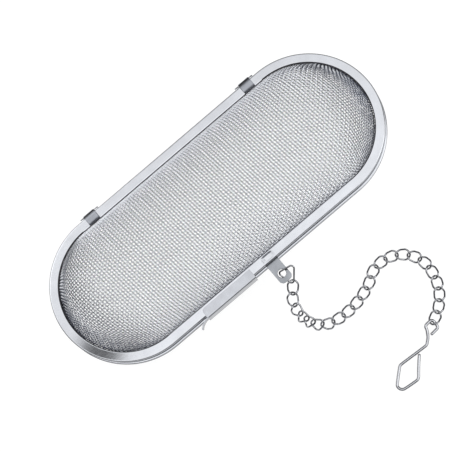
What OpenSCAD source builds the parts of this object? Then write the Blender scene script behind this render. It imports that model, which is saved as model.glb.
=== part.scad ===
// Oblong tea infuser: two woven-mesh half shells in folded steel rims, joined by two
// rolled hinges, closed by a sliding clip, with a curb chain and a bent-wire hook.
// X runs along the infuser, +Y points to the hinges, +Z points up. The origin is the
// middle of the flat bottom of the lower basket, where the infuser rests.

/* [Rims] */
// Overall length of each rim, end to end
rim_length = 110; // [100:1:120]
// Overall width of each rim
rim_width = 44; // [40:1:48]
// Width of the flat flange
flange_width = 2.8; // [2.6:0.1:3.2]
// Thickness of one rim, a folded hem of two sheets
rim_thick = 1.4; // [1.3:0.05:1.5]
// How far the lower rim stands out beyond the upper one on the clip's side
near_step = 0.65; // [0.4:0.05:0.7]
// Gap where the two rims part
parting_gap = 0.5; // [0.5:0.05:0.6]

/* [Baskets] */
// Depth of each basket below its rim
basket_depth = 13.2; // [12:0.2:15]
// Radius of the bend between the basket's wall and its flat middle
basket_bend = 12; // [8:0.5:12]
// Slope of the basket's wall at the rim, in degrees
wall_slope = 68; // [60:1:74]
// Thickness of the woven mesh
mesh_thick = 0.6; // [0.5:0.05:0.8]

/* [Hinges] */
// Distance of each hinge from the middle of the rim
hinge_x = 28.6; // [24:0.2:31]
// Length of the rolled strap along its pin
strap_length = 3.7; // [3:0.1:5]
// Thickness of the strap and leaf sheet
strap_sheet = 0.35; // [0.3:0.05:0.4]
// Radius of the hinge pin
pin_r = 0.4; // [0.35:0.05:0.45]
// Running clearance round the hinge pin
pin_clearance = 0.05; // [0.03:0.01:0.08]

/* [Sliding clip] */
// Length of the clip along the rim
clip_length = 17.4; // [14:0.2:19]
// Thickness of the clip's sheet
clip_sheet = 0.3; // [0.25:0.05:0.3]
// Travel of the clip from open to locked
clip_travel = 3.8; // [3:0.1:4]
// Length of each lip that locks under the lower rim
lip_length = 3.2; // [2.4:0.1:3.4]

/* [Chain] */
// Width of the chain tab
tab_width = 4; // [3.6:0.1:4.4]
// Radius of the hole in the chain tab
tab_hole_r = 1.2; // [1.1:0.05:1.3]
// Wire of the triangular ring
ring_wire = 0.5; // [0.4:0.05:0.6]
// Wire of a chain link
link_wire = 0.55; // [0.45:0.05:0.6]
// Overall length of a chain link
link_length = 4.65; // [4.5:0.05:4.7]
// Overall width of a chain link
link_width = 3.5; // [3.3:0.05:3.6]
// Distance from one link to the next
link_pitch = 3.35; // [3.3:0.01:3.4]

/* [Hook] */
// Wire of the hook
hook_wire = 0.9; // [0.8:0.05:1]

/* [Hidden] */
link_count = 23;
function link_name(i) = str("chain_link_", i < 9 ? "0" : "", i + 1);

fit = 0.05;                                   // clearance between assembled sheets
half_straight = (rim_length - rim_width) / 2; // half the straight part of the outline
rim_r = rim_width / 2;
inner_r = rim_r - flange_width;
near_y = -rim_r - near_step;                  // the lower rim's outer edge on the clip's side
lower_rim_z = basket_depth;
parting_z = lower_rim_z + rim_thick + parting_gap / 2;
upper_rim_z = parting_z + parting_gap / 2;
rim_top_z = upper_rim_z + rim_thick;

hem_slot = 0.4;        // slot in the folded hem that holds the mesh's edge
hem_fold = 0.8;        // solid fold left outside the slot
mesh_flange = hem_slot - 2 * fit;

hinge_y = rim_r + 0.15;
hinge_relief_r = 1.0;  // hollow in both rims round the hinge barrel
leaf_knuckle = 1.2;    // length of each outer knuckle
knuckle_r = pin_r + pin_clearance + strap_sheet;
barrel_length = strap_length + 2 * leaf_knuckle + 4 * fit;

tab_x = 1.8;
bump_length = 4.4;     // the embossed stop that the clip slides up to
bump_height = 0.45;
clip_end = tab_x - bump_length / 2 - 0.1 - clip_travel;
clip_x0 = clip_end - clip_length;
clip_top_z = rim_top_z + fit;
lip_first = clip_x0 + 2.2;
lip_second = clip_end - 2.2 - lip_length;
lip_z = lower_rim_z - fit - clip_sheet;
notch_depth = 0.95;    // the lower rim's notches that the lips pass

tab_sheet = 0.4;
tab_hole_y = -rim_r - 4.3;
tab_z = parting_z - parting_gap / 2 - tab_sheet;

steel = [0.78, 0.79, 0.81];
dark_steel = [0.52, 0.53, 0.56];
mesh_steel = [0.7, 0.71, 0.73];

// ---------- outline and sweep helpers ----------

// Points of the oblong outline whose ends have radius r
function oblong(r, n = 20) = [
    for (side = [0, 1], i = [0 : n])
        let (a = -90 + 180 * side + 180 * i / n)
        [(side == 0 ? half_straight : -half_straight) + r * cos(a), r * sin(a)]];

function unit(v) = v / norm(v);

// Points of one wire section round p, square to the direction t
function wire_section(p, t, up, r, sides) =
    let (a = unit(cross(t, up)), b = cross(a, t))
    [for (k = [0 : sides - 1])
        p + r * cos(360 * (k + 0.5) / sides) * a + r * sin(360 * (k + 0.5) / sides) * b];

function skin_faces(rings, sides, closed) = [
    for (i = [0 : rings - (closed ? 1 : 2)], k = [0 : sides - 1])
        let (j = (i + 1) % rings, m = (k + 1) % sides)
        [i * sides + k, i * sides + m, j * sides + m, j * sides + k]];

// A round wire along the points of a path; ups holds one upward vector for each point
module wire(path, ups, d, sides = 8, closed = true) {
    n = len(path);
    sections = [for (i = [0 : n - 1])
        let (before = closed ? path[(i + n - 1) % n] : path[max(i - 1, 0)],
             after = closed ? path[(i + 1) % n] : path[min(i + 1, n - 1)])
        wire_section(path[i], unit(after - before), ups[i], d / 2, sides)];
    ends = closed ? [] : [
        [for (k = [sides - 1 : -1 : 0]) k],
        [for (k = [0 : sides - 1]) (n - 1) * sides + k]];
    polyhedron(points = [for (s = sections) each s],
               faces = concat(skin_faces(n, sides, closed), ends), convexity = 6);
}

// Points of an arc in the XY plane
function arc(centre, r, a0, a1, n) =
    [for (i = [0 : n]) centre + r * [cos(a0 + (a1 - a0) * i / n), sin(a0 + (a1 - a0) * i / n)]];

// ---------- rims ----------

// A folded hem: a flat ring, open on its inner side where the mesh's edge is clamped.
// Its outline stands out by step on the -Y side.
module hem(step = 0) {
    difference() {
        linear_extrude(rim_thick) difference() {
            polygon([for (p = oblong(rim_r)) [p.x, p.y - (p.y < -0.001 ? step : 0)]]);
            polygon(oblong(inner_r));
        }
        translate([0, 0, (rim_thick - hem_slot) / 2])
            linear_extrude(hem_slot) polygon(oblong(rim_r - hem_fold));
    }
}

// The hollow round both hinge barrels
module hinge_reliefs() {
    for (x = [-hinge_x, hinge_x])
        translate([x, hinge_y, parting_z]) rotate([0, 90, 0])
            cylinder(r = hinge_relief_r, h = barrel_length + 4 * fit, center = true, $fn = 48);
}

module lower_rim() {
    color(steel) difference() {
        translate([0, 0, lower_rim_z]) hem(near_step);
        hinge_reliefs();
        for (x = [-hinge_x, hinge_x], x0 = leaf_starts(x))
            translate([x0 - fit, hinge_y - knuckle_r - fit, lower_rim_z - 1])
                cube([leaf_knuckle + 2 * fit, 2, rim_thick + 1]);
        for (x = [lip_first, lip_second])
            translate([x - 0.25, near_y - 1, lower_rim_z - 1])
                cube([lip_length + 0.5, notch_depth + 1, rim_thick + 2]);
        translate([tab_x - tab_width / 2 - fit, -rim_r - 1, tab_z - fit])
            cube([tab_width + 2 * fit, 1 + hem_fold - fit, tab_sheet + 1]);
    }
}

module upper_rim() {
    color(steel) {
        difference() {
            translate([0, 0, upper_rim_z]) hem();
            hinge_reliefs();
        }
        // the embossed stop for the sliding clip, over the root of the chain tab
        translate([tab_x, -rim_r + flange_width / 2, rim_top_z - 0.1])
            linear_extrude(0.1 + bump_height) polygon([
                [-bump_length / 2, -1], [-bump_length / 2 + 0.4, -1.2], [bump_length / 2 - 0.4, -1.2],
                [bump_length / 2, -1], [bump_length / 2, 1], [-bump_length / 2, 1]]);
    }
}

// ---------- baskets ----------

// Inset and depth along the basket's wall, from its rim (t = 0) to its flat middle (t = 1)
basket_wall = basket_depth - basket_bend * (1 - cos(wall_slope));
function basket_inset(t) = t < 0.25
    ? t / 0.25 * basket_wall / tan(wall_slope)
    : basket_wall / tan(wall_slope)
        + basket_bend * (sin(wall_slope) - sin(wall_slope * (1 - t) / 0.75));
function basket_drop(t) = t < 0.25
    ? t / 0.25 * basket_wall
    : basket_wall + basket_bend * (cos(wall_slope * (1 - t) / 0.75) - cos(wall_slope));

// One half basket, with its open side at z = 0, its flat middle below, and a flat edge
module basket() {
    steps = 8;
    n = 20;
    rows_outer = [for (i = [0 : steps]) let (t = i / steps)
        [for (p = oblong(inner_r - fit - basket_inset(t), n)) [p.x, p.y, -basket_drop(t)]]];
    rows_inner = [for (i = [steps : -1 : 0]) let (t = i / steps)
        [for (p = oblong(inner_r - fit - mesh_thick - basket_inset(t) * 0.985, n))
            [p.x, p.y, -basket_drop(t) * (1 - mesh_thick / basket_depth)]]];
    edge_z = (rim_thick + mesh_flange) / 2;
    rows_edge = [
        [for (p = oblong(inner_r - fit - mesh_thick, n)) [p.x, p.y, edge_z]],
        [for (p = oblong(rim_r - hem_fold - fit, n)) [p.x, p.y, edge_z]],
        [for (p = oblong(rim_r - hem_fold - fit, n)) [p.x, p.y, edge_z - mesh_flange]],
        [for (p = oblong(inner_r - fit, n)) [p.x, p.y, edge_z - mesh_flange]]];
    sides = 2 * (n + 1);
    outer_skin = concat([rows_edge[3]], rows_outer);
    inner_skin = concat(rows_inner, [rows_edge[0], rows_edge[1], rows_edge[2]]);
    outer_count = len(outer_skin) * sides;
    all_count = outer_count + len(inner_skin) * sides;
    faces = concat(
        skin_faces(len(outer_skin), sides, false),
        [for (f = skin_faces(len(inner_skin), sides, false)) [for (v = f) v + outer_count]],
        [for (k = [0 : sides - 1]) let (m = (k + 1) % sides)
            [all_count - sides + k, all_count - sides + m, m, k]],
        [[for (k = [0 : sides - 1]) outer_count - sides + k]],
        [[for (k = [sides - 1 : -1 : 0]) outer_count + k]]);
    polyhedron(points = [for (r = concat(outer_skin, inner_skin)) each r], faces = faces,
               convexity = 6);
}

module lower_mesh() {
    color(mesh_steel) translate([0, 0, lower_rim_z]) basket();
}

module upper_mesh() {
    color(mesh_steel) translate([0, 0, rim_top_z]) mirror([0, 0, 1]) basket();
}

// ---------- hinges ----------

strap_outer_y = hinge_y + strap_sheet + 0.1;

module knuckle(x0, length) {
    translate([x0, hinge_y, parting_z]) rotate([0, 90, 0]) difference() {
        cylinder(r = knuckle_r, h = length, $fn = 48);
        translate([0, 0, -1]) cylinder(r = pin_r + pin_clearance, h = length + 2, $fn = 48);
    }
}

// A sheet arched over the flange, with the profile drawn in the YZ plane
module arched_sheet(length) {
    rise = 0.75;
    span = (strap_outer_y - inner_r) / 2;
    top_y = strap_outer_y - span;
    outer = [for (i = [0 : 12]) let (a = 180 - 15 * i)
        [top_y + span * cos(a), rim_top_z + fit + rise * sin(a)]];
    inner = [for (i = [12 : -1 : 0]) let (a = 180 - 15 * i)
        [top_y + (span - strap_sheet) * cos(a), rim_top_z + fit + (rise - strap_sheet) * sin(a)]];
    rotate([90, 0, 90]) linear_extrude(length) polygon(concat(outer, inner));
}

module hinge_strap(x) {
    drop_z = parting_z + pin_r + pin_clearance + 0.12;
    color(dark_steel) translate([x - strap_length / 2, 0, 0]) {
        arched_sheet(strap_length);
        knuckle(0, strap_length);
        // the flat run of the strap from the arch down to its knuckle
        translate([0, strap_outer_y - strap_sheet, drop_z])
            cube([strap_length, strap_sheet, rim_top_z + 2 * fit - drop_z]);
        // the foot spot-welded to the flange
        translate([0, inner_r, rim_top_z])
            cube([strap_length, 0.5, strap_sheet]);
    }
}

// Left-hand ends of the two outer knuckles of the hinge at x
function leaf_starts(x) = [x - strap_length / 2 - 2 * fit - leaf_knuckle,
                           x + strap_length / 2 + 2 * fit];

// Two outer knuckles, each on a strip that drops through the lower rim and folds under it
module hinge_leaf(x) {
    foot = 1.3;
    leaf_y = hinge_y - knuckle_r;
    color(dark_steel) for (x0 = leaf_starts(x)) {
        knuckle(x0, leaf_knuckle);
        translate([x0, leaf_y, lower_rim_z - strap_sheet - fit])
            cube([leaf_knuckle, strap_sheet, parting_z - lower_rim_z + strap_sheet + fit]);
        translate([x0, leaf_y - foot, lower_rim_z - strap_sheet - fit])
            cube([leaf_knuckle, foot + strap_sheet, strap_sheet]);
    }
}

module hinge_pin(x) {
    color(steel) translate([x - barrel_length / 2, hinge_y, parting_z])
        rotate([0, 90, 0]) cylinder(r = pin_r, h = barrel_length, $fn = 48);
}

module hinge_strap_left() { hinge_strap(-hinge_x); }
module hinge_strap_right() { hinge_strap(hinge_x); }
module hinge_leaf_left() { hinge_leaf(-hinge_x); }
module hinge_leaf_right() { hinge_leaf(hinge_x); }
module hinge_pin_left() { hinge_pin(-hinge_x); }
module hinge_pin_right() { hinge_pin(hinge_x); }

// ---------- sliding clip ----------

// The clip wraps the upper rim: a top plate, a tongue in the parting gap, and an outer wall
// that hangs past the lower rim. Two short lips on the wall hook under it when it is slid.
module sliding_clip() {
    wall_y = near_y - fit - clip_sheet;
    top_width = 3.05;
    lip_reach = 0.75;
    tongue_z = parting_z - clip_sheet / 2;
    thumb_r = 4.2;
    color(steel) {
        translate([clip_x0, wall_y, clip_top_z]) linear_extrude(clip_sheet) polygon([
            [0, 0], [clip_length, 0], [clip_length, top_width],
            [1.2, top_width], [0.5, top_width - 0.3], [0.1, top_width - 1]]);
        translate([clip_x0, wall_y, lip_z])
            cube([clip_length, clip_sheet, clip_top_z + clip_sheet - lip_z]);
        translate([clip_x0, wall_y, tongue_z])
            cube([clip_length, 1.8 + near_step, clip_sheet]);
        for (x = [lip_first, lip_second])
            translate([x, wall_y, lip_z])
                cube([lip_length, clip_sheet + fit + lip_reach, clip_sheet]);
        // the thumb lip, curling outward from the clip's left-hand end
        translate([clip_x0, wall_y - thumb_r + clip_sheet, tongue_z])
            linear_extrude(clip_top_z + clip_sheet - tongue_z) polygon(concat(
                arc([0, 0], thumb_r, 85, 140, 10),
                arc([0, 0], thumb_r - clip_sheet, 140, 85, 10)));
    }
}

// ---------- chain tab and triangular ring ----------

module chain_tab() {
    root_y = -rim_r + hem_fold - 2 * fit;
    end_y = tab_hole_y - 2.7;
    color(steel) translate([tab_x, 0, tab_z]) difference() {
        linear_extrude(tab_sheet) intersection() {
            translate([-tab_width / 2, end_y]) square([tab_width, root_y - end_y]);
            translate([0, tab_hole_y + 2]) circle(r = 4.7, $fn = 96);
        }
        translate([0, tab_hole_y, -1]) cylinder(r = tab_hole_r, h = tab_sheet + 2, $fn = 64);
        for (s = [-1, 1])
            translate([s * (tab_width / 2 + 0.6), end_y - 0.6, -1]) rotate([0, 0, 45])
                cube([2.2, 2.2, 2 * (tab_sheet + 2)], center = true);
    }
}

ring_heading = -46;   // direction from the tab's hole to the ring's far side
ring_tilt = 38;       // sideways tilt of the ring's plane
ring_height = 4.85;   // height of the triangle before its corners are rounded
ring_half = 2.7;      // half of the triangle's far side
ring_corner = 0.8;    // radius of its corners
ring_out = [cos(ring_heading), sin(ring_heading), -0.06];
ring_side = [-sin(ring_heading) * cos(ring_tilt), cos(ring_heading) * cos(ring_tilt), sin(ring_tilt)];
ring_apex = [tab_x, tab_hole_y, tab_z + tab_sheet / 2] - (0.7 + ring_corner) * ring_out;

module triangle_ring() {
    slant = atan(ring_half / ring_height);
    apex_in = ring_corner / sin(slant);
    foot = 45 - slant / 2;
    foot_in = ring_corner / sin(foot);
    corner_a = arc([apex_in, 0], ring_corner, 270 - slant, 90 + slant, 6);
    corner_b = arc([ring_height - ring_corner, ring_half - foot_in * sin(foot)],
                   ring_corner, 90 + slant, 0, 6);
    corner_c = [for (i = [len(corner_b) - 1 : -1 : 0]) [corner_b[i].x, -corner_b[i].y]];
    flat = concat(corner_a, corner_b, corner_c);
    path = [for (p = flat) ring_apex + p.x * ring_out + p.y * ring_side];
    up = unit(cross(ring_out, ring_side));
    color(dark_steel) wire(path, [for (p = path) up], ring_wire);
}

// ---------- chain ----------

// The chain leaves the ring, comes down to the surface and lies there in one loose S.
// Each entry holds a number of links and the turn, in degrees, made at each of them.
chain_start = [1.6, -31.2, 13.9];
chain_heading = -132;
chain_bends = [[6, 20], [5, 8.5], [6, -20.5], [5, -14]];
drop_links = 7;
link_twist = 45;
link_half = (link_length - link_wire) / 2;
link_r = (link_width - link_wire) / 2;
floor_z = 1.03;

link_turns = [for (b = chain_bends) for (i = [1 : b[0]]) b[1]];
function link_heading(i) = i == 0 ? chain_heading : link_heading(i - 1) + link_turns[i - 1];
function link_z(i) = i >= drop_links ? floor_z
    : floor_z + (chain_start.z - floor_z) * (1 + cos(180 * i / drop_links)) / 2;
function link_place(i) = i == 0 ? chain_start :
    let (dz = link_z(i) - link_z(i - 1), run = sqrt(link_pitch ^ 2 - dz ^ 2),
         a = link_heading(i - 1))
    link_place(i - 1) + [run * cos(a), run * sin(a), dz];
link_places = [for (i = [0 : link_count]) link_place(i)];
function link_along(i) = unit(link_places[i + 1] - link_places[max(i - 1, 0)]);

// Centre line of a flat link: two half circles joined by straights, along x
link_straight = link_half - link_r;
link_outline = [for (side = [1, -1]) each
    arc([side * link_straight, 0], link_r, -90 * side, 180 - 90 * side, 8)];

// A curb link is twisted, so that its two ends stand square to each other
module chain_link(i) {
    along = link_along(i);
    up = unit([0, 0, 1] - along.z * along);
    across = cross(up, along);
    rolls = [for (p = link_outline) link_twist * p.x / link_half];
    path = [for (k = [0 : len(link_outline) - 1]) let (p = link_outline[k])
        link_places[i] + p.x * along + p.y * (cos(rolls[k]) * across + sin(rolls[k]) * up)];
    ups = [for (r = rolls) cos(r) * up - sin(r) * across];
    color(dark_steel) wire(path, ups, link_wire);
}

// ---------- hook ----------

// The hook is one wire: an open eye, a neck, and an open diamond. The diamond lies flat,
// and the eye tilts up to the side where it passes through the last link.
hook_z = 0.47;
hook_eye = [23.9, -62.5];
eye_bend = 0.9;
eye_slope = 0.28;
eye_rise = [-0.45, 0.89];   // direction in which the eye rises
eye_low = -67.9;            // place along that direction where the eye is lowest
neck_x = 19.5;              // the wire is flat on the surface to the left of this
function hook_height(p) =
    hook_z + eye_slope * max(0, p * eye_rise - eye_low) * max(0, min(1, (p.x - neck_x) / 2));

module hook() {
    flat = concat(
        [[22.5, -64.1]],
        arc(hook_eye + [0.55, -0.55], eye_bend, -100, -30, 3),
        arc(hook_eye + [0.55, 0.55], eye_bend, 10, 80, 4),
        arc(hook_eye + [-0.6, 0.45], eye_bend, 100, 190, 4),
        [[21.2, -64.2]], arc([19, -63.9], 1.6, -35, -92, 4),
        arc([10.9, -66.8], 1.9, 98, 140, 4),
        arc([7.3, -69.3], 1.5, 150, 260, 6),
        arc([10.9, -69.6], 1.6, 275, 330, 4),
        [[14.2, -68.2], [16.2, -66.2]]);
    path = [for (p = flat) [p.x, p.y, hook_height(p)]];
    color(dark_steel) wire(path, [for (p = path) [0, 0, 1]], hook_wire, closed = false);
}

// ---------- nodes ----------

lower_rim();
upper_rim();
lower_mesh();
upper_mesh();
hinge_strap_left();
hinge_strap_right();
hinge_leaf_left();
hinge_leaf_right();
hinge_pin_left();
hinge_pin_right();
sliding_clip();
chain_tab();
triangle_ring();
for (i = [0 : link_count - 1])
    chain_link(i);
hook();
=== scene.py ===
# Visual model of an oblong woven-mesh tea infuser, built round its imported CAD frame.
# Lengths in this file are millimetres in the part's frame; MM turns them into metres.
import math

import bmesh
import bpy
import numpy as np
from mathutils import Matrix, Vector


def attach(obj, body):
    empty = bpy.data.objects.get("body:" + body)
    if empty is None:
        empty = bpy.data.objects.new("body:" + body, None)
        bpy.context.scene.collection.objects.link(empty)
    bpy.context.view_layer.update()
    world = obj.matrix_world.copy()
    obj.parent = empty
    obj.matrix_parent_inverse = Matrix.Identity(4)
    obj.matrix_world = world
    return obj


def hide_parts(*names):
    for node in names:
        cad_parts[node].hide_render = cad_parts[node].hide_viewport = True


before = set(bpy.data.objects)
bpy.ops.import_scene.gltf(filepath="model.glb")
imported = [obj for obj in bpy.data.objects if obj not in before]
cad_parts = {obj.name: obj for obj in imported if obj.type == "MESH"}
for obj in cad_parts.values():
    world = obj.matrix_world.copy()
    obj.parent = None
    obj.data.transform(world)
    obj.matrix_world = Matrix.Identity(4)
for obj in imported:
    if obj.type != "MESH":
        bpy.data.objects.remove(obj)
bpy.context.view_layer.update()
MM = 0.001
UP = (0.0, 0.0, 1.0)

# ---------- sizes shared with the CAD part ----------
RIM_LENGTH, RIM_WIDTH, FLANGE = 110.0, 44.0, 2.8
RIM_THICK, PARTING_GAP = 1.4, 0.5
HALF_STRAIGHT = (RIM_LENGTH - RIM_WIDTH) / 2
RIM_R = RIM_WIDTH / 2
INNER_R = RIM_R - FLANGE
DEPTH, BEND_R, SLOPE, MESH_THICK = 13.2, 12.0, math.radians(68), 0.6
LOWER_RIM_Z = DEPTH
PARTING_Z = LOWER_RIM_Z + RIM_THICK + PARTING_GAP / 2
UPPER_RIM_Z = PARTING_Z + PARTING_GAP / 2
TOP_Z = UPPER_RIM_Z + RIM_THICK
NEAR_STEP = 0.65
NEAR_Y = -RIM_R - NEAR_STEP
HINGE_X, HINGE_Y = 28.6, RIM_R + 0.15
STRAP_LENGTH, STRAP_SHEET, PIN_R, KNUCKLE_R = 3.7, 0.35, 0.4, 0.8
LEAF_LENGTH, KNUCKLE_GAP = 1.2, 0.1
BARREL_LENGTH = STRAP_LENGTH + 2 * (LEAF_LENGTH + KNUCKLE_GAP)
CLIP_X0, CLIP_X1, CLIP_SHEET = -21.7, -4.3, 0.3
LIP_INSET, LIP_LENGTH = 2.2, 3.2
LIP_STARTS = (CLIP_X0 + LIP_INSET, CLIP_X1 - LIP_INSET - LIP_LENGTH)
TAB_X, TAB_Z, TAB_SHEET, TAB_HALF_WIDTH, TAB_HOLE_Y = 1.8, 14.2, 0.4, 2.0, -26.3
LINK_WIRE, LINK_LENGTH, LINK_WIDTH, LINK_PITCH = 0.55, 4.65, 3.5, 3.35


# ---------- mesh helpers ----------
def make_piece(name, verts, faces, material, body, slot, nodes=(), smooth=True):
    """A mesh piece from points in millimetres and faces of three or more corners."""
    mesh = bpy.data.meshes.new(name)
    verts = np.asarray(verts, float) * MM
    if isinstance(faces, np.ndarray):
        count, width = faces.shape
        starts = np.arange(0, count * width, width, dtype=np.int32)
        mesh.vertices.add(len(verts))
        mesh.vertices.foreach_set("co", verts.ravel())
        mesh.loops.add(count * width)
        mesh.loops.foreach_set("vertex_index", faces.ravel().astype(np.int32))
        mesh.polygons.add(count)
        mesh.polygons.foreach_set("loop_start", starts)
        mesh.update(calc_edges=True)
    else:
        mesh.from_pydata([tuple(v) for v in verts], [], [tuple(int(i) for i in f) for f in faces])
    mesh.validate()
    obj = bpy.data.objects.new(name, mesh)
    bpy.context.scene.collection.objects.link(obj)
    obj.data.materials.append(material)
    if smooth:
        shade_smooth(obj)
    if body:
        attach(obj, body)
        if nodes:
            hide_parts(*nodes)
    return obj


def shade_smooth(obj):
    polygons = obj.data.polygons
    polygons.foreach_set("use_smooth", np.ones(len(polygons), bool))


def unit(v):
    v = np.asarray(v, float)
    return v / np.maximum(np.linalg.norm(v, axis=-1, keepdims=True), 1e-12)


def tube(path, ups, radius, sides, closed):
    """Points and quads of a round wire along a path; ups holds an upward vector per point."""
    path = np.asarray(path, float)
    if closed:
        tangent = unit(np.roll(path, -1, 0) - np.roll(path, 1, 0))
    else:
        tangent = unit(np.gradient(path, axis=0))
    side = unit(np.cross(tangent, ups))
    top = np.cross(side, tangent)
    angle = 2 * np.pi * (np.arange(sides) + 0.5) / sides
    ring = (np.cos(angle)[None, :, None] * side[:, None, :]
            + np.sin(angle)[None, :, None] * top[:, None, :])
    verts = path[:, None, :] + radius * ring
    n = len(path)
    i = np.arange(n if closed else n - 1)[:, None]
    k = np.arange(sides)[None, :]
    j, m = (i + 1) % n, (k + 1) % sides
    quads = np.stack([i * sides + k, i * sides + m, j * sides + m, j * sides + k], -1)
    return verts.reshape(-1, 3), quads.reshape(-1, 4)


def join_tubes(parts):
    verts, quads, base = [], [], 0
    for v, q in parts:
        verts.append(v)
        quads.append(q + base)
        base += len(v)
    return np.concatenate(verts), np.concatenate(quads)


def round_caps(verts, quads, path, radius, sides):
    """Domes the two open ends of a wire."""
    verts, quads = list(verts), [tuple(q) for q in quads]
    dome = radius * 0.6
    for end, neighbour, outward in ((0, 1, False), (len(path) - 1, len(path) - 2, True)):
        centre = path[end]
        axis = unit(centre - path[neighbour])
        previous = [end * sides + k for k in range(sides)]
        ring = [np.array(verts[p]) - centre for p in previous]
        for a in np.radians((30, 60)):
            base = len(verts)
            verts += [centre + r * math.cos(a) + axis * dome * math.sin(a) for r in ring]
            for k in range(sides):
                m = (k + 1) % sides
                quad = (previous[k], previous[m], base + m, base + k)
                quads.append(quad if outward else quad[::-1])
            previous = [base + k for k in range(sides)]
        verts.append(centre + axis * dome)
        for k in range(sides):
            triangle = (previous[k], previous[(k + 1) % sides], len(verts) - 1)
            quads.append(triangle if outward else triangle[::-1])
    return verts, quads


def rounded_path(points, steps):
    """A cubic B-spline along the points, which rounds every corner and keeps both ends."""
    p = np.asarray(points, float)
    p = np.concatenate([[2 * p[0] - p[1]], p, [2 * p[-1] - p[-2]]])
    out = []
    for i in range(len(p) - 3):
        for t in np.arange(steps) / steps:
            weights = np.array([(1 - t)**3, 3 * t**3 - 6 * t**2 + 4,
                                -3 * t**3 + 3 * t**2 + 3 * t + 1, t**3]) / 6
            out.append(weights @ p[i:i + 4])
    out.append((p[-3] + 4 * p[-2] + p[-1]) / 6)
    return np.array(out)


def arc(cx, cy, r, a0, a1, n):
    a = np.radians(np.linspace(a0, a1, n + 1))
    return np.stack([cx + r * np.cos(a), cy + r * np.sin(a)], 1)


def circle(cx, cy, r, n):
    return arc(cx, cy, r, 0, 360, n)[:-1]


def oblong_stations(n_end=56, n_straight=24):
    """Spine points and outward directions round the oblong, going anticlockwise."""
    spine, out = [], []
    for side in (1, -1):
        for a in np.radians(-90 * side + 180 * np.arange(n_end) / n_end):
            spine.append((side * HALF_STRAIGHT, 0.0))
            out.append((math.cos(a), math.sin(a)))
        for x in np.linspace(HALF_STRAIGHT, -HALF_STRAIGHT, n_straight + 1)[:-1]:
            spine.append((side * x, 0.0))
            out.append((0.0, float(side)))
    return np.array(spine), np.array(out)


def sweep_profile(profile, z0, near_step=0.0):
    """A closed profile of (radius, height) points swept round the oblong. Its outer fold
    stands out by near_step on the -Y side."""
    spine, out = oblong_stations()
    flat = spine[:, None, :] + out[:, None, :] * profile[None, :, :1]
    fold = np.clip((profile[:, 0] - (RIM_R - 1.0)) / 0.3, 0, 1)
    near = np.clip(-out[:, 1] / 0.25, 0, 1)
    flat[:, :, 1] -= near_step * near[:, None] * fold[None, :]
    z = np.broadcast_to(profile[None, :, 1:] + z0, flat.shape[:2] + (1,))
    verts = np.concatenate([flat, z], -1)
    n, m = verts.shape[:2]
    i, k = np.arange(n)[:, None], np.arange(m)[None, :]
    j, l = (i + 1) % n, (k + 1) % m
    quads = np.stack([i * m + k, j * m + k, j * m + l, i * m + l], -1).reshape(-1, 4)
    return verts.reshape(-1, 3), quads


def prism(outline, length, place):
    """A closed outline of (u, v) points extruded; place(u, v, w) gives the point in space."""
    n = len(outline)
    verts = [place(u, v, w) for w in (0.0, length) for u, v in outline]
    faces = [tuple(range(n - 1, -1, -1)), tuple(range(n, 2 * n))]
    faces += [(i, (i + 1) % n, (i + 1) % n + n, i + n) for i in range(n)]
    return verts, faces


def prism_x(outline, x0, length):
    """A (y, z) outline extruded along X."""
    return prism(outline, length, lambda y, z, w: (x0 + w, y, z))


def prism_z(outline, z0, height):
    """An (x, y) outline extruded along Z."""
    return prism(outline, height, lambda x, y, w: (x, y, z0 + w))


def box_solid(low, high):
    (x0, y0, z0), (x1, y1, z1) = low, high
    return prism_z([(x0, y0), (x1, y0), (x1, y1), (x0, y1)], z0, z1 - z0)


def fix_normals(obj):
    bm = bmesh.new()
    bm.from_mesh(obj.data)
    bmesh.ops.recalc_face_normals(bm, faces=bm.faces)
    bm.to_mesh(obj.data)
    bm.free()


def apply_modifiers(obj):
    """Turns the object's modifiers into its mesh."""
    depsgraph = bpy.context.evaluated_depsgraph_get()
    mesh = bpy.data.meshes.new_from_object(obj.evaluated_get(depsgraph))
    obj.modifiers.clear()
    obj.data = mesh


def cut(obj, solids):
    """Cuts closed solids out of the object."""
    for verts, faces in solids:
        tool = make_piece("cutter", verts, faces, obj.data.materials[0], None, None, smooth=False)
        fix_normals(tool)
        mod = obj.modifiers.new("cut", "BOOLEAN")
        mod.operation, mod.solver, mod.object = "DIFFERENCE", "EXACT", tool
        apply_modifiers(obj)
        bpy.data.objects.remove(tool)


def paint_shade_on_cut_edges(obj, test):
    """Paints shade on the sheet's cut edges: a near-black material standing in for the shadow
    lines in the gaps at those edges.
    """
    obj.data.materials.append(PAINTED_SHADE_EDGE)
    for face in obj.data.polygons:
        if test(face.center, face.normal):
            face.material_index = 1


def soften(obj, width, segments=3, angle=30):
    """Rounds the sharp edges of a sheet part and shades it by its faces."""
    bevel = obj.modifiers.new("soft_edges", "BEVEL")
    bevel.width, bevel.segments, bevel.limit_method = width * MM, segments, "ANGLE"
    bevel.angle_limit = math.radians(angle)
    bevel.harden_normals = False
    weighted = obj.modifiers.new("weighted", "WEIGHTED_NORMAL")
    weighted.keep_sharp = True
    shade_smooth(obj)
    return bevel


# ---------- materials ----------
def set_stops(ramp, stops):
    """Gives a colour ramp its (position, colour) stops."""
    elements = ramp.color_ramp.elements
    while len(elements) < len(stops):
        elements.new(0.5)
    for element, (position, colour) in zip(elements, stops):
        element.position = position
        element.color = (*colour, 1)


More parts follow.
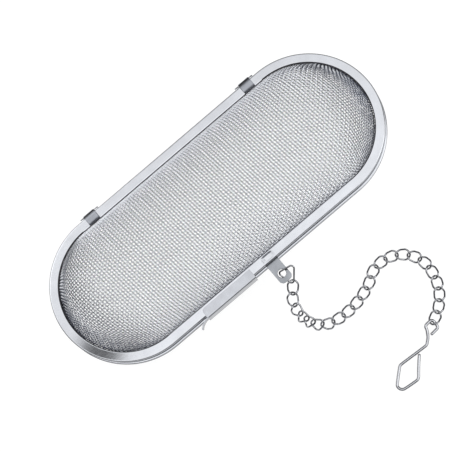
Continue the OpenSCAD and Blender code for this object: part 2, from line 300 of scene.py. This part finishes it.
def steel(name, colour, roughness, grain=(1, 1, 1), scale=900.0, bump=0.15, mottle=0.0):
    """Stainless steel: a metal with a fine directional grain and a faint uneven polish."""
    mat = bpy.data.materials.new(name)
    mat.use_nodes = True
    nodes, links = mat.node_tree.nodes, mat.node_tree.links
    shader = nodes["Principled BSDF"]
    shader.inputs["Metallic"].default_value = 1.0
    shader.inputs["Base Color"].default_value = (*colour, 1)
    coords = nodes.new("ShaderNodeTexCoord")
    stretch = nodes.new("ShaderNodeMapping")
    stretch.inputs["Scale"].default_value = grain
    links.new(coords.outputs["Object"], stretch.inputs["Vector"])
    noise = nodes.new("ShaderNodeTexNoise")
    noise.inputs["Scale"].default_value = scale
    noise.inputs["Detail"].default_value = 5.0
    links.new(stretch.outputs["Vector"], noise.inputs["Vector"])
    bumps = nodes.new("ShaderNodeBump")
    bumps.inputs["Strength"].default_value = bump
    bumps.inputs["Distance"].default_value = 0.02 * MM
    links.new(noise.outputs["Fac"], bumps.inputs["Height"])
    links.new(bumps.outputs["Normal"], shader.inputs["Normal"])
    rough = nodes.new("ShaderNodeMapRange")
    rough.inputs["To Min"].default_value = roughness * 0.75
    rough.inputs["To Max"].default_value = roughness * 1.3
    links.new(noise.outputs["Fac"], rough.inputs["Value"])
    links.new(rough.outputs["Result"], shader.inputs["Roughness"])
    if mottle:
        cloud = nodes.new("ShaderNodeTexNoise")
        cloud.inputs["Scale"].default_value = 260.0
        cloud.inputs["Detail"].default_value = 3.0
        links.new(coords.outputs["Object"], cloud.inputs["Vector"])
        ramp = nodes.new("ShaderNodeValToRGB")
        set_stops(ramp, [(0.35, [c * (1 - mottle) for c in colour]), (0.65, colour)])
        links.new(cloud.outputs["Fac"], ramp.inputs["Fac"])
        links.new(ramp.outputs["Color"], shader.inputs["Base Color"])
    return mat


def paint_light_on_bottom(mat, wall, bottom, z0, z1):
    """The flat bottom of the pressed basket is painted paler than its wall, a painted light that
    goes over to the wall's colour between two heights.
    """
    nodes, links = mat.node_tree.nodes, mat.node_tree.links
    coords = nodes.new("ShaderNodeTexCoord")
    split = nodes.new("ShaderNodeSeparateXYZ")
    links.new(coords.outputs["Object"], split.inputs["Vector"])
    height = nodes.new("ShaderNodeMapRange")
    height.inputs["From Min"].default_value = z0 * MM
    height.inputs["From Max"].default_value = z1 * MM
    links.new(split.outputs["Z"], height.inputs["Value"])
    ramp = nodes.new("ShaderNodeValToRGB")
    set_stops(ramp, [(0.0, bottom), (1.0, wall)])
    links.new(height.outputs["Result"], ramp.inputs["Fac"])
    links.new(ramp.outputs["Color"], nodes["Principled BSDF"].inputs["Base Color"])


WIRE_GRAIN = dict(scale=2500.0, bump=0.08)
# painted light: the lower basket's bottom is painted paler than its wall
LOWER_WALL, LOWER_BOTTOM_PAINTED_LIGHT = (0.48, 0.495, 0.54), (0.74, 0.75, 0.78)
RIM_STEEL = steel("rim_steel", (0.385, 0.395, 0.415), 0.10, (1, 6, 6), 500.0, 0.06, mottle=0.06)
CLIP_STEEL = steel("clip_steel", (0.32, 0.33, 0.35), 0.18, (0.3, 8, 8), 700.0, 0.2, mottle=0.10)
# painted shade: the chain tab and its burr are painted darker than the rim's steel, standing in
# for the shade on the tab
TAB_STEEL_PAINTED_SHADE = steel("tab_steel_painted_shade", (0.22, 0.23, 0.245), 0.22, (8, 0.5, 8), 700.0, 0.35, mottle=0.2)
# the upper cloth is one steel painted in two tones: the long wires pale as a painted highlight,
# the cross wires near-black as painted shade for the gaps where they pass under
LONG_WIRE_PAINTED_HIGHLIGHT_STEEL = steel("long_wire_painted_highlight_steel", (0.65, 0.665, 0.70), 0.12, **WIRE_GRAIN)
CROSS_WIRE_PAINTED_SHADE_STEEL = steel("cross_wire_painted_shade_steel", (0.085, 0.095, 0.125), 0.12, **WIRE_GRAIN)
LOWER_MESH_STEEL = steel("lower_mesh_steel", LOWER_WALL, 0.2, **WIRE_GRAIN)
paint_light_on_bottom(LOWER_MESH_STEEL, LOWER_WALL, LOWER_BOTTOM_PAINTED_LIGHT, 5.0, 12.0)
# painted shade: a near-black steel put on the cut edges of the rims and the clip, standing in for
# the shadow lines along the rims' inner edge and round the clip
PAINTED_SHADE_EDGE = steel("painted_shade_edge_steel", (0.045, 0.045, 0.05), 0.4, scale=1500.0, bump=0.1)
# painted shade: the hinge strap, its knuckle and the pin are painted darker than the rest of the
# steel, standing in for the shade on the rolled strap
HINGE_STEEL_PAINTED_SHADE = steel("hinge_steel", (0.21, 0.22, 0.24), 0.22, (0.4, 6, 6), 800.0, 0.25,
                    mottle=0.15)
LEAF_STEEL = steel("leaf_steel", (0.55, 0.56, 0.58), 0.25, (0.4, 6, 6), 800.0, 0.15)
CHAIN_STEEL = steel("chain_steel", (0.27, 0.275, 0.29), 0.12, scale=600.0, bump=0.02)
HOOK_STEEL = steel("hook_steel", (0.30, 0.305, 0.32), 0.15, scale=600.0, bump=0.02)

# ---------- woven baskets ----------
PITCH, CROSS_PITCH = 0.90, 0.84
LONG_DIR, CROSS_DIR = math.radians(-7.0), math.radians(96.0)
LONG_WIRE_R, CROSS_WIRE_R, LOWER_WIRE_R = 0.125, 0.095, 0.075
LOWER_TURN = math.radians(45)
PLEAT_DEPTH, DENT_DEPTH = 0.12, 0.05
SAMPLES_PER_PITCH, WIRES_EACH_SIDE = 2, 120
WALL = DEPTH - BEND_R * (1 - math.cos(SLOPE))
FLAT_R = INNER_R - 0.05 - WALL / math.tan(SLOPE) - BEND_R * math.sin(SLOPE)
BEND_LENGTH = BEND_R * SLOPE
WALL_LENGTH = WALL / math.sin(SLOPE)
EDGE_Z = RIM_THICK / 2
CLOTH_R = FLAT_R + BEND_LENGTH + WALL_LENGTH + EDGE_Z + 1.2


def basket_profile(rho):
    """Radius, height above the rim plane, and outward normal (r, z) at a distance in the cloth:
    a flat bottom, a bend, a sloping wall, a short rise and the edge clamped in the rim."""
    a = np.clip((rho - FLAT_R) / BEND_R, 0, SLOPE)
    w = np.clip(rho - FLAT_R - BEND_LENGTH, 0, WALL_LENGTH)
    lip = np.clip(rho - FLAT_R - BEND_LENGTH - WALL_LENGTH, 0, None)
    r = np.minimum(rho, FLAT_R) + BEND_R * np.sin(a) + w * math.cos(SLOPE)
    z = -DEPTH + BEND_R * (1 - np.cos(a)) + w * math.sin(SLOPE)
    return r + np.clip(lip - EDGE_Z, 0, None), z + np.clip(lip, 0, EDGE_Z), np.sin(a), -np.cos(a)


def basket_surface(ab):
    """Point and outward normal on the basket's middle surface for cloth coordinates."""
    a, b = ab[:, 0], ab[:, 1]
    spine = np.clip(a, -HALF_STRAIGHT, HALF_STRAIGHT)
    dx = a - spine
    rho = np.hypot(dx, b)
    safe = np.maximum(rho, 1e-9)
    ox, oy = dx / safe, b / safe
    r, z, nr, nz = basket_profile(rho)
    theta = np.arctan2(oy, ox)
    # the cloth gathers into soft pleats where it goes round the two ends
    round_end = np.abs(ox)
    high = np.clip((rho - 14.0) / 8.0, 0, 1) * np.clip((CLOTH_R - 1.9 - rho) / 1.5, 0, 1)
    wave = np.cos(theta * 30 + 1.6 * np.sin(2 * theta + 0.4) + 0.05 * rho)
    pleat = PLEAT_DEPTH * round_end**2 * high * (wave - 0.35 * np.cos(theta * 13 + 1.0))
    # and its flat part is never quite flat
    dent = DENT_DEPTH * np.sin(a * 0.21 + 1.0) * np.sin(b * 0.27 + 0.4)
    dent *= np.clip((CLOTH_R - 4 - rho) / 8.0, 0, 1)
    push = pleat + dent - MESH_THICK / 2
    point = np.stack([spine + ox * (r + nr * push), oy * (r + nr * push), z + nz * push], 1)
    normal = unit(np.stack([ox * nr, oy * nr, nz], 1))
    return point, normal, rho


def weave(origin, run, step, first_side, wire_r, crimp):
    """Wires along run, one every step, each passing over and under the ones it crosses."""
    parts = []
    reach = int(2 * (HALF_STRAIGHT + CLOTH_R) / np.linalg.norm(run)) + 2
    s = np.arange(-reach, reach + 0.01, 1.0 / SAMPLES_PER_PITCH)
    for k in range(-WIRES_EACH_SIDE, WIRES_EACH_SIDE + 1):
        line = origin + k * step + s[:, None] * run
        spine = np.clip(line[:, 0], -HALF_STRAIGHT, HALF_STRAIGHT)
        inside = np.hypot(line[:, 0] - spine, line[:, 1]) < CLOTH_R
        if inside.sum() < 3:
            continue
        first, last = np.flatnonzero(inside)[[0, -1]]
        point, normal, rho = basket_surface(line[first:last + 1])
        lift = first_side * (-1)**k * np.cos(np.pi * s[first:last + 1])
        tight = np.clip((CLOTH_R - rho) / 1.5, 0.35, 1)
        path = point + normal * (lift * crimp * tight)[:, None]
        parts.append(tube(path, normal, wire_r, 6, False))
    return join_tubes(parts)


def basket(prefix, body, node, z_rim, flip, origin, materials, radii, turn=0.0):
    """A basket as two pieces, the long wires and the cross wires, woven with each other."""
    origin = np.array(origin)
    c, s = math.cos(turn), math.sin(turn)
    spin = np.array([[c, s], [-s, c]])
    spread = 1 / math.sin(CROSS_DIR - LONG_DIR)
    long_step = np.array([math.cos(LONG_DIR), math.sin(LONG_DIR)]) @ spin * spread * CROSS_PITCH
    cross_step = np.array([math.cos(CROSS_DIR), math.sin(CROSS_DIR)]) @ spin * spread * PITCH
    crimp = 0.52 * sum(radii)
    sets = (("long", weave(origin, long_step, cross_step, 1, radii[0], crimp), [node]),
            ("cross", weave(origin, cross_step, long_step, -1, radii[1], crimp), []))
    for (kind, (verts, quads), nodes), material in zip(sets, materials):
        if flip:
            verts = verts * [1, 1, -1]
            quads = quads[:, ::-1].copy()
        make_piece(f"{prefix}_{kind}_wires", verts + [0, 0, z_rim], quads, material, body,
                   "mesh_steel", nodes)


basket("lower_basket", "lower_half", "lower_mesh", LOWER_RIM_Z, False, (0.31, 0.17),
       (LOWER_MESH_STEEL, LOWER_MESH_STEEL), (LOWER_WIRE_R, LOWER_WIRE_R), LOWER_TURN)
# the upper basket's long wires carry the painted highlight, its cross wires the painted shade
basket("upper_basket", "lid", "upper_mesh", TOP_Z, True, (0.0, 0.0),
       (LONG_WIRE_PAINTED_HIGHLIGHT_STEEL, CROSS_WIRE_PAINTED_SHADE_STEEL), (LONG_WIRE_R, CROSS_WIRE_R))

# ---------- rims ----------
# the hemmed sheet's section: a round fold outside, two cut edges and a slot for the cloth inside
FOLD_R, CROWN = 0.32, 0.12
SLOT_LOW, SLOT_HIGH, SLOT_END = 0.50, 0.90, RIM_R - 1.0
FOLD_X = RIM_R - FOLD_R
HEM = np.concatenate([
    arc(FOLD_X, FOLD_R, FOLD_R, -90, 0, 6),
    arc(FOLD_X, RIM_THICK - CROWN - FOLD_R, FOLD_R, 0, 90, 6),
    [[FOLD_X - 0.18, RIM_THICK - 0.91 * CROWN], [INNER_R + 0.40, 1.392],
     [INNER_R + 0.25, 1.40], [INNER_R + 0.08, 1.36], [INNER_R, 1.26], [INNER_R, 1.0],
     [INNER_R + 0.06, SLOT_HIGH], [SLOT_END, SLOT_HIGH], [SLOT_END, SLOT_LOW],
     [INNER_R + 0.06, SLOT_LOW], [INNER_R, 0.40], [INNER_R, 0.14], [INNER_R + 0.08, 0.04],
     [INNER_R + 0.25, 0.0]],
])
LEAF_STARTS = [x + d for x in (-HINGE_X, HINGE_X)
               for d in (-STRAP_LENGTH / 2 - KNUCKLE_GAP - LEAF_LENGTH,
                         STRAP_LENGTH / 2 + KNUCKLE_GAP)]


def is_shaded_rim_edge(centre, normal):
    straight = HALF_STRAIGHT * MM
    r = math.hypot(centre.x - max(-straight, min(straight, centre.x)), centre.y)
    return r < (INNER_R + 0.16) * MM or (r < (RIM_R - 0.9) * MM and abs(normal.z) < 0.5)


def rim(node, body, z0, cuts, near_step=0.0):
    verts, quads = sweep_profile(HEM, z0, near_step)
    obj = make_piece(node + "_hem", verts, quads, RIM_STEEL, body, "rim_steel", [node])
    cut(obj, cuts)
    shade_smooth(obj)
    obj.data.set_sharp_from_angle(angle=math.radians(35))
    # the rim's inner edge and the faces of its slot get the painted shade
    paint_shade_on_cut_edges(obj, is_shaded_rim_edge)


def rims():
    reliefs = [prism_x(circle(HINGE_Y, PARTING_Z, 1.0, 32), x - BARREL_LENGTH / 2 - 0.1,
                       BARREL_LENGTH + 0.2) for x in (-HINGE_X, HINGE_X)]
    notches = [box_solid((x0 - 0.05, HINGE_Y - 0.85, LOWER_RIM_Z - 1),
                         (x0 + LEAF_LENGTH + 0.05, HINGE_Y + 1.15, LOWER_RIM_Z + 1.42))
               for x0 in LEAF_STARTS]
    notches += [box_solid((x0 - 0.25, NEAR_Y - 1, LOWER_RIM_Z - 1),
                          (x0 + LIP_LENGTH + 0.25, NEAR_Y + 0.95, LOWER_RIM_Z + 2.0))
                for x0 in LIP_STARTS]
    notches += [box_solid((TAB_X - TAB_HALF_WIDTH - 0.05, -RIM_R - 1, TAB_Z - 0.05),
                          (TAB_X + TAB_HALF_WIDTH + 0.05, -RIM_R + 0.75, TAB_Z + 1.0))]
    rim("upper_rim", "lid", UPPER_RIM_Z, reliefs)
    rim("lower_rim", "lower_half", LOWER_RIM_Z, reliefs + notches, NEAR_STEP)


def pressed_stop(columns=33, rows=19):
    """The low swelling pressed into the upper flange over the root of the chain tab."""
    points = []
    for v in np.linspace(-1, 1, rows):
        for u in np.linspace(-1, 1, columns):
            edge = (abs(u)**5 + abs(v)**5)**0.2
            t = min(max((1 - edge) / 0.55, 0.0), 1.0)
            points.append((TAB_X + 2.2 * u, -RIM_R + FLANGE / 2 - 0.1 + 1.1 * v,
                           TOP_Z + 0.17 * t * t * (3 - 2 * t)))
    faces = [(j * columns + i, j * columns + i + 1, (j + 1) * columns + i + 1,
              (j + 1) * columns + i) for j in range(rows - 1) for i in range(columns - 1)]
    make_piece("rim_pressed_stop", points, faces, RIM_STEEL, "lid", "rim_steel")


rims()
pressed_stop()


# ---------- hinges ----------
def soft_piece(name, solid, material, body, slot, nodes=(), width=0.06, angle=30):
    """A closed solid as a piece with softened edges."""
    obj = make_piece(name, *solid, material, body, slot, nodes)
    fix_normals(obj)
    soften(obj, width, angle=angle)
    return obj


def knuckle(name, x0, length, body, material):
    """A short tube round the hinge pin."""
    n = 40
    rings = (circle(HINGE_Y, PARTING_Z, KNUCKLE_R, n), circle(HINGE_Y, PARTING_Z, PIN_R + 0.05, n))
    verts = [(x0 + w, y, z) for w in (0.0, length) for ring in rings for y, z in ring]
    faces = []
    for i in range(n):
        j = (i + 1) % n
        faces += [(i, j, j + 2 * n, i + 2 * n), (j + n, i + n, i + 3 * n, j + 3 * n),
                  (j, i, i + n, j + n), (i + 2 * n, j + 2 * n, j + 3 * n, i + 3 * n)]
    soft_piece(name, (verts, faces), material, body, "hinge_steel", angle=50)


def strap(name, x):
    """The rolled strap: an arched sheet over the flange that turns down to its knuckle."""
    outer_y = HINGE_Y + STRAP_SHEET + 0.1
    span, rise = (outer_y - INNER_R) / 2, 0.75
    top_y, base = outer_y - span, TOP_Z + 0.05
    a = np.radians(np.linspace(0, 180, 25))
    outer = np.stack([top_y + span * np.cos(a), base + rise * np.sin(a)], 1)
    inner = np.stack([top_y + (span - STRAP_SHEET) * np.cos(a),
                      base + (rise - STRAP_SHEET) * np.sin(a)], 1)[::-1]
    x0 = x - STRAP_LENGTH / 2
    arch = prism_x(np.concatenate([outer, inner]), x0, STRAP_LENGTH)
    soft_piece(name + "_arch", arch, HINGE_STEEL_PAINTED_SHADE, "lid", "hinge_steel", [name], width=0.07)
    drop = box_solid((x0, outer_y - STRAP_SHEET, PARTING_Z + 0.57),
                     (x0 + STRAP_LENGTH, outer_y, TOP_Z + 0.15))
    soft_piece(name + "_drop", drop, HINGE_STEEL_PAINTED_SHADE, "lid", "hinge_steel")
    knuckle(name + "_knuckle", x0, STRAP_LENGTH, "lid", HINGE_STEEL_PAINTED_SHADE)


def leaf(name, starts):
    """Two outer knuckles, each on a strip that drops through the rim and folds under it."""
    foot, leaf_y, low = 1.3, HINGE_Y - KNUCKLE_R, LOWER_RIM_Z - STRAP_SHEET - 0.05
    profile = [(leaf_y - foot, low), (leaf_y + STRAP_SHEET, low),
               (leaf_y + STRAP_SHEET, PARTING_Z), (leaf_y, PARTING_Z),
               (leaf_y, low + STRAP_SHEET), (leaf_y - foot, low + STRAP_SHEET)]
    for tag, x0 in zip("ab", starts):
        knuckle(f"{name}_knuckle_{tag}", x0, LEAF_LENGTH, "lower_half", LEAF_STEEL)
        soft_piece(f"{name}_strip_{tag}", prism_x(profile, x0, LEAF_LENGTH), LEAF_STEEL,
                   "lower_half", "hinge_steel", [name] if tag == "a" else [])


for side, x, starts in (("left", -HINGE_X, LEAF_STARTS[:2]), ("right", HINGE_X, LEAF_STARTS[2:])):
    strap(f"hinge_strap_{side}", x)
    leaf(f"hinge_leaf_{side}", starts)
    pin = prism_x(circle(HINGE_Y, PARTING_Z, PIN_R, 40), x - BARREL_LENGTH / 2, BARREL_LENGTH)
    soft_piece(f"hinge_pin_{side}_body", pin, HINGE_STEEL_PAINTED_SHADE, "lower_half", "hinge_steel",
               [f"hinge_pin_{side}"], width=0.08, angle=50)

# ---------- sliding clip ----------
WALL_Y = NEAR_Y - 0.05 - CLIP_SHEET
CLIP_TOP = TOP_Z + 0.05
TONGUE_Z = PARTING_Z - CLIP_SHEET / 2
LIP_Z = LOWER_RIM_Z - 0.05 - CLIP_SHEET
TOP_EDGE_Y, TONGUE_EDGE_Y = WALL_Y + 3.05, WALL_Y + 1.8 + NEAR_STEP


def clip_fold():
    """The folded sheet: top plate, outer wall and tongue, with its fold rounded."""
    bend_r, wall_in = 0.42, WALL_Y + CLIP_SHEET
    bend_y, bend_z = WALL_Y + bend_r, CLIP_TOP + CLIP_SHEET - bend_r
    section = np.concatenate([
        [[TOP_EDGE_Y, CLIP_TOP + CLIP_SHEET]], arc(bend_y, bend_z, bend_r, 90, 180, 6),
        [[WALL_Y, LIP_Z], [wall_in, LIP_Z], [wall_in, TONGUE_Z], [TONGUE_EDGE_Y, TONGUE_Z],
         [TONGUE_EDGE_Y, TONGUE_Z + CLIP_SHEET], [wall_in, TONGUE_Z + CLIP_SHEET]],
        arc(bend_y, bend_z, bend_r - CLIP_SHEET, 180, 90, 4), [[TOP_EDGE_Y, CLIP_TOP]],
    ])
    verts, faces = prism_x(section, CLIP_X0, CLIP_X1 - CLIP_X0)
    clip = make_piece("sliding_clip_fold", verts, faces, CLIP_STEEL, "clip", "rim_steel",
                      ["sliding_clip"])
    fix_normals(clip)
    corner_r = 1.1
    corner = np.concatenate([
        [[CLIP_X0 - 0.5, TOP_EDGE_Y + 0.3], [CLIP_X0 - 0.5, TOP_EDGE_Y - corner_r]],
        arc(CLIP_X0 + corner_r + 0.02, TOP_EDGE_Y - corner_r, corner_r, 180, 90, 10),
        [[CLIP_X0 + corner_r + 0.02, TOP_EDGE_Y + 0.3]]])
    cut(clip, [prism_z(corner, CLIP_TOP - 0.5, 2.0)])
    # the clip's inner edge, its ends and all its softened edges get the painted shade
    paint_shade_on_cut_edges(clip, is_shaded_clip_edge)
    soften(clip, 0.11, segments=2).material = 1


def is_shaded_clip_edge(centre, normal):
    inner_side = centre.y > (TOP_EDGE_Y - 1.3) * MM and centre.z > CLIP_TOP * MM
    return (inner_side and abs(normal.z) < 0.5) or abs(normal.x) > 0.9


def thumb_lip():
    """The lip that curls outward from the clip's left-hand end."""
    r = 4.2
    centre_y = WALL_Y - r + CLIP_SHEET
    outline = np.concatenate([arc(CLIP_X0, centre_y, r, 85, 140, 20),
                              arc(CLIP_X0, centre_y, r - CLIP_SHEET, 140, 85, 20)])
    solid = prism_z(outline, TONGUE_Z, CLIP_TOP + CLIP_SHEET - TONGUE_Z)
    soft_piece("sliding_clip_thumb_lip", solid, CLIP_STEEL, "clip", "rim_steel")


def locking_lips():
    y0, y1 = WALL_Y + 0.02, WALL_Y + 1.1
    for k, x0 in enumerate(LIP_STARTS):
        lip = box_solid((x0, y0, LIP_Z), (x0 + LIP_LENGTH, y1, LIP_Z + CLIP_SHEET))
        soft_piece(f"sliding_clip_lip_{k + 1}", lip, CLIP_STEEL, "clip", "rim_steel", width=0.07)


clip_fold()
thumb_lip()
locking_lips()


# ---------- chain tab ----------
def chain_tab():
    root_y, shoulder_y, segments = -RIM_R + 0.7, -28.05, 48
    outline = np.concatenate([
        [[-TAB_HALF_WIDTH, root_y], [-TAB_HALF_WIDTH, shoulder_y]],
        arc(0, TAB_HOLE_Y + 2, 4.7, -108, -72, 12),
        [[TAB_HALF_WIDTH, shoulder_y], [TAB_HALF_WIDTH, root_y]]]) + [TAB_X, 0]
    verts, faces = prism_z(outline, TAB_Z, TAB_SHEET)
    tab = make_piece("chain_tab_plate", verts, faces, TAB_STEEL_PAINTED_SHADE, "lower_half", "rim_steel",
                     ["chain_tab"])
    fix_normals(tab)
    cut(tab, [prism_z(circle(TAB_X, TAB_HOLE_Y, 1.2, segments), TAB_Z - 1, 2.0)])
    soften(tab, 0.07)
    # the burr round the punched hole
    rim_z = np.full((segments, 1), TAB_Z + TAB_SHEET - 0.01)
    burr = np.concatenate([circle(TAB_X, TAB_HOLE_Y, 1.26, segments), rim_z], 1)
    verts, quads = tube(burr, np.tile(UP, (segments, 1)), 0.07, 8, True)
    make_piece("chain_tab_hole_burr", verts, quads, TAB_STEEL_PAINTED_SHADE, "lower_half", "rim_steel")


chain_tab()


# ---------- triangular ring ----------
def triangle_ring():
    """An isosceles triangle of wire with round corners, its tip through the tab's hole."""
    heading, tilt = math.radians(-46), math.radians(38)
    out = np.array([math.cos(heading), math.sin(heading), -0.06])
    side = np.array([-math.sin(heading) * math.cos(tilt), math.cos(heading) * math.cos(tilt),
                     math.sin(tilt)])
    height, half, corner_r = 4.85, 2.7, 0.8
    hole = np.array([TAB_X, TAB_HOLE_Y, TAB_Z + TAB_SHEET / 2])
    apex = hole - (0.7 + corner_r) * out
    slant = math.degrees(math.atan(half / height))
    tip = arc(corner_r / math.sin(math.radians(slant)), 0, corner_r, 270 - slant, 90 + slant, 12)
    foot = arc(height - corner_r, half - corner_r, corner_r, 90 + slant, 0, 12)
    flat = np.concatenate([tip, foot, foot[::-1] * [1, -1]])
    path = apex + flat[:, :1] * out + flat[:, 1:] * side
    ups = np.tile(unit(np.cross(out, side)), (len(path), 1))
    verts, quads = tube(path, ups, 0.25, 16, True)
    make_piece("triangle_ring_wire", verts, quads, CHAIN_STEEL, "ring", "chain_steel",
               ["triangle_ring"])


triangle_ring()

# ---------- chain ----------
# the chain's path as in the CAD part: it drops from the tab to the table, then snakes along it
FIRST_HEADING, FIRST_PLACE = -132, (1.6, -31.2, 13.9)
BENDS = ((6, 20), (5, 8.5), (6, -20.5), (5, -14))
DROP_LINKS, TABLE_Z = 7, 1.03
LINK_CLEARANCE = 0.012


def link_height(k):
    if k >= DROP_LINKS:
        return TABLE_Z
    return TABLE_Z + (FIRST_PLACE[2] - TABLE_Z) * (1 + math.cos(math.pi * k / DROP_LINKS)) / 2


def link_places():
    """The centres of the links, and one more place beyond the last link."""
    turns = [turn for count, turn in BENDS for _ in range(count)]
    places = [np.array(FIRST_PLACE)]
    for i in range(1, len(turns) + 2):
        dz = link_height(i) - link_height(i - 1)
        run = math.sqrt(LINK_PITCH**2 - dz**2)
        a = math.radians(FIRST_HEADING + sum(turns[: i - 1]))
        places.append(places[-1] + [run * math.cos(a), run * math.sin(a), dz])
    return places


def chain():
    """Curb links: oblong rings of wire, each twisted by 45 degrees either way at its ends."""
    places = link_places()
    bow_r = (LINK_WIDTH - LINK_WIRE) / 2
    half = (LINK_LENGTH - LINK_WIRE) / 2
    straight = half - bow_r
    outline = np.concatenate([arc(straight, 0, bow_r, -90, 90, 20),
                              arc(-straight, 0, bow_r, 90, 270, 20)])
    twist = np.radians(45 * outline[:, :1] / half)
    for i in range(len(places) - 1):
        along = unit(places[i + 1] - places[max(i - 1, 0)])
        up = unit(np.array(UP) - along[2] * along)
        across = np.cross(up, along)
        wide = np.cos(twist) * across + np.sin(twist) * up
        ups = np.cos(twist) * up - np.sin(twist) * across
        path = places[i] + outline[:, :1] * along + outline[:, 1:] * wide
        verts, quads = tube(path, ups, LINK_WIRE / 2 - LINK_CLEARANCE, 16, True)
        name = f"chain_link_{i + 1:02d}"
        make_piece(name + "_wire", verts, quads, CHAIN_STEEL, f"link_{i + 1:02d}", "chain_steel",
                   [name])


chain()


# ---------- hook ----------
def hook_height(x, y):
    """The wire lies on the table and rises over itself beside the eye."""
    rise = max(0.0, x * -0.45 + y * 0.89 + 67.9)
    return 0.47 + 0.28 * rise * max(0.0, min(1.0, (x - 19.5) / 2))


def hook():
    """One bent wire: an open eye, a straight shank and an open diamond."""
    eye_x, eye_y, wire_r, sides = 23.9, -62.5, 0.435, 20
    flat = np.concatenate([
        [[22.5, -64.1]], arc(eye_x + 0.55, eye_y - 0.55, 0.9, -100, -30, 3),
        arc(eye_x + 0.55, eye_y + 0.55, 0.9, 10, 80, 4),
        arc(eye_x - 0.6, eye_y + 0.45, 0.9, 100, 190, 4),
        [[21.2, -64.2]], arc(19, -63.9, 1.6, -35, -92, 4), arc(10.9, -66.8, 1.9, 98, 140, 4),
        arc(7.3, -69.3, 1.5, 150, 260, 6), arc(10.9, -69.6, 1.6, 275, 330, 4),
        [[14.2, -68.2], [16.2, -66.2]]])
    path = rounded_path([(x, y, hook_height(x, y)) for x, y in flat], 6)
    verts, quads = tube(path, np.tile(UP, (len(path), 1)), wire_r, sides, False)
    verts, faces = round_caps(verts, quads, path, wire_r, sides)
    make_piece("hook_wire", verts, faces, HOOK_STEEL, "hook", "hook_steel", ["hook"])


hook()

# ---------- floor ----------
FLOOR_HALF = 3000.0
floor_mat = bpy.data.materials.new("studio_floor")
floor_mat.use_nodes = True
floor_inputs = floor_mat.node_tree.nodes["Principled BSDF"].inputs
floor_inputs["Base Color"].default_value = (0.22, 0.22, 0.22, 1)
floor_inputs["Emission Color"].default_value = (1, 1, 1, 1)
floor_inputs["Emission Strength"].default_value = 0.84
floor_inputs["Roughness"].default_value = 0.9
floor_inputs["Specular IOR Level"].default_value = 0.1
corners = [(x * FLOOR_HALF, y * FLOOR_HALF, 0) for x, y in ((-1, -1), (1, -1), (1, 1), (-1, 1))]
floor = make_piece("studio_floor", corners, [(0, 1, 2, 3)], floor_mat, None, None)

# ---------- light ----------
# an overhead tent of light, darker towards the horizon: (height of the direction, brightness)
SKY = [(0.0, 0.04), (0.45, 0.08), (0.77, 0.32), (0.905, 1.82), (1.0, 2.15)]
# a small dark flag high in the tent, which the polished flange mirrors at one end
FLAG_DIRECTION, FLAG_CORE, FLAG_EDGE, FLAG_LEVEL = (-0.200, 0.183, 0.962), 0.03, 0.062, 0.0

scene = bpy.context.scene
scene.view_settings.view_transform = "Standard"
scene.view_settings.look = "None"


def sky():
    world = scene.world or bpy.data.worlds.new("studio")
    scene.world = world
    world.use_nodes = True
    nodes, links = world.node_tree.nodes, world.node_tree.links
    background = nodes["Background"]
    background.inputs["Strength"].default_value = 1.0
    coords = nodes.new("ShaderNodeTexCoord")
    split = nodes.new("ShaderNodeSeparateXYZ")
    links.new(coords.outputs["Generated"], split.inputs["Vector"])
    tent = nodes.new("ShaderNodeValToRGB")
    set_stops(tent, [(position, (level, level, level * 1.01)) for position, level in SKY])
    links.new(split.outputs["Z"], tent.inputs["Fac"])
    distance = nodes.new("ShaderNodeVectorMath")
    distance.operation = "DISTANCE"
    distance.inputs[1].default_value = FLAG_DIRECTION
    links.new(coords.outputs["Generated"], distance.inputs[0])
    shade = nodes.new("ShaderNodeMapRange")
    shade.interpolation_type = "SMOOTHSTEP"
    shade.inputs["From Min"].default_value = FLAG_CORE
    shade.inputs["From Max"].default_value = FLAG_EDGE
    shade.inputs["To Min"].default_value = FLAG_LEVEL
    links.new(distance.outputs["Value"], shade.inputs["Value"])
    flagged = nodes.new("ShaderNodeVectorMath")
    flagged.operation = "SCALE"
    links.new(tent.outputs["Color"], flagged.inputs[0])
    links.new(shade.outputs["Result"], flagged.inputs["Scale"])
    links.new(flagged.outputs["Vector"], background.inputs["Color"])


def area_light(name, place, target, width, height, power):
    light = bpy.data.lights.new(name, "AREA")
    light.shape, light.energy = "RECTANGLE", power
    light.size, light.size_y = width * MM, height * MM
    obj = bpy.data.objects.new(name, light)
    obj.location = Vector(place) * MM
    direction = (Vector(target) - Vector(place)).normalized()
    obj.rotation_mode = "QUATERNION"
    obj.rotation_quaternion = direction.to_track_quat("-Z", "Y")
    scene.collection.objects.link(obj)


sky()
area_light("side_box", (300, -420, 380), (10, -10, 10), 520, 420, 1.5)
area_light("key", (-260, 420, 520), (0, -10, 10), 420, 420, 0.95)
area_light("fill", (420, -260, 480), (0, -10, 10), 320, 320, 0.7)


# ---------- camera ----------
def camera():
    """Looks down from the chain's side, with the infuser's length rising to the right."""
    data = bpy.data.cameras.new("camera")
    obj = bpy.data.objects.new("camera", data)
    scene.collection.objects.link(obj)
    scene.camera = obj
    data.lens, data.sensor_width = 129.3, 36.0
    data.clip_start, data.clip_end = 0.01, 20.0
    obj.location = Vector((-1.45, -117.5, 452.5)) * MM
    sin_tilt, cos_tilt = 0.2472, 0.969
    sin_roll, cos_roll = 0.649, 0.761
    right = Vector((cos_roll, -sin_roll * cos_tilt, -sin_roll * sin_tilt)).normalized()
    up = Vector((sin_roll, cos_roll * cos_tilt, cos_roll * sin_tilt)).normalized()
    back = right.cross(up).normalized()
    up = back.cross(right).normalized()
    obj.rotation_mode = "QUATERNION"
    obj.rotation_quaternion = Matrix((right, up, back)).transposed().to_quaternion()


camera()
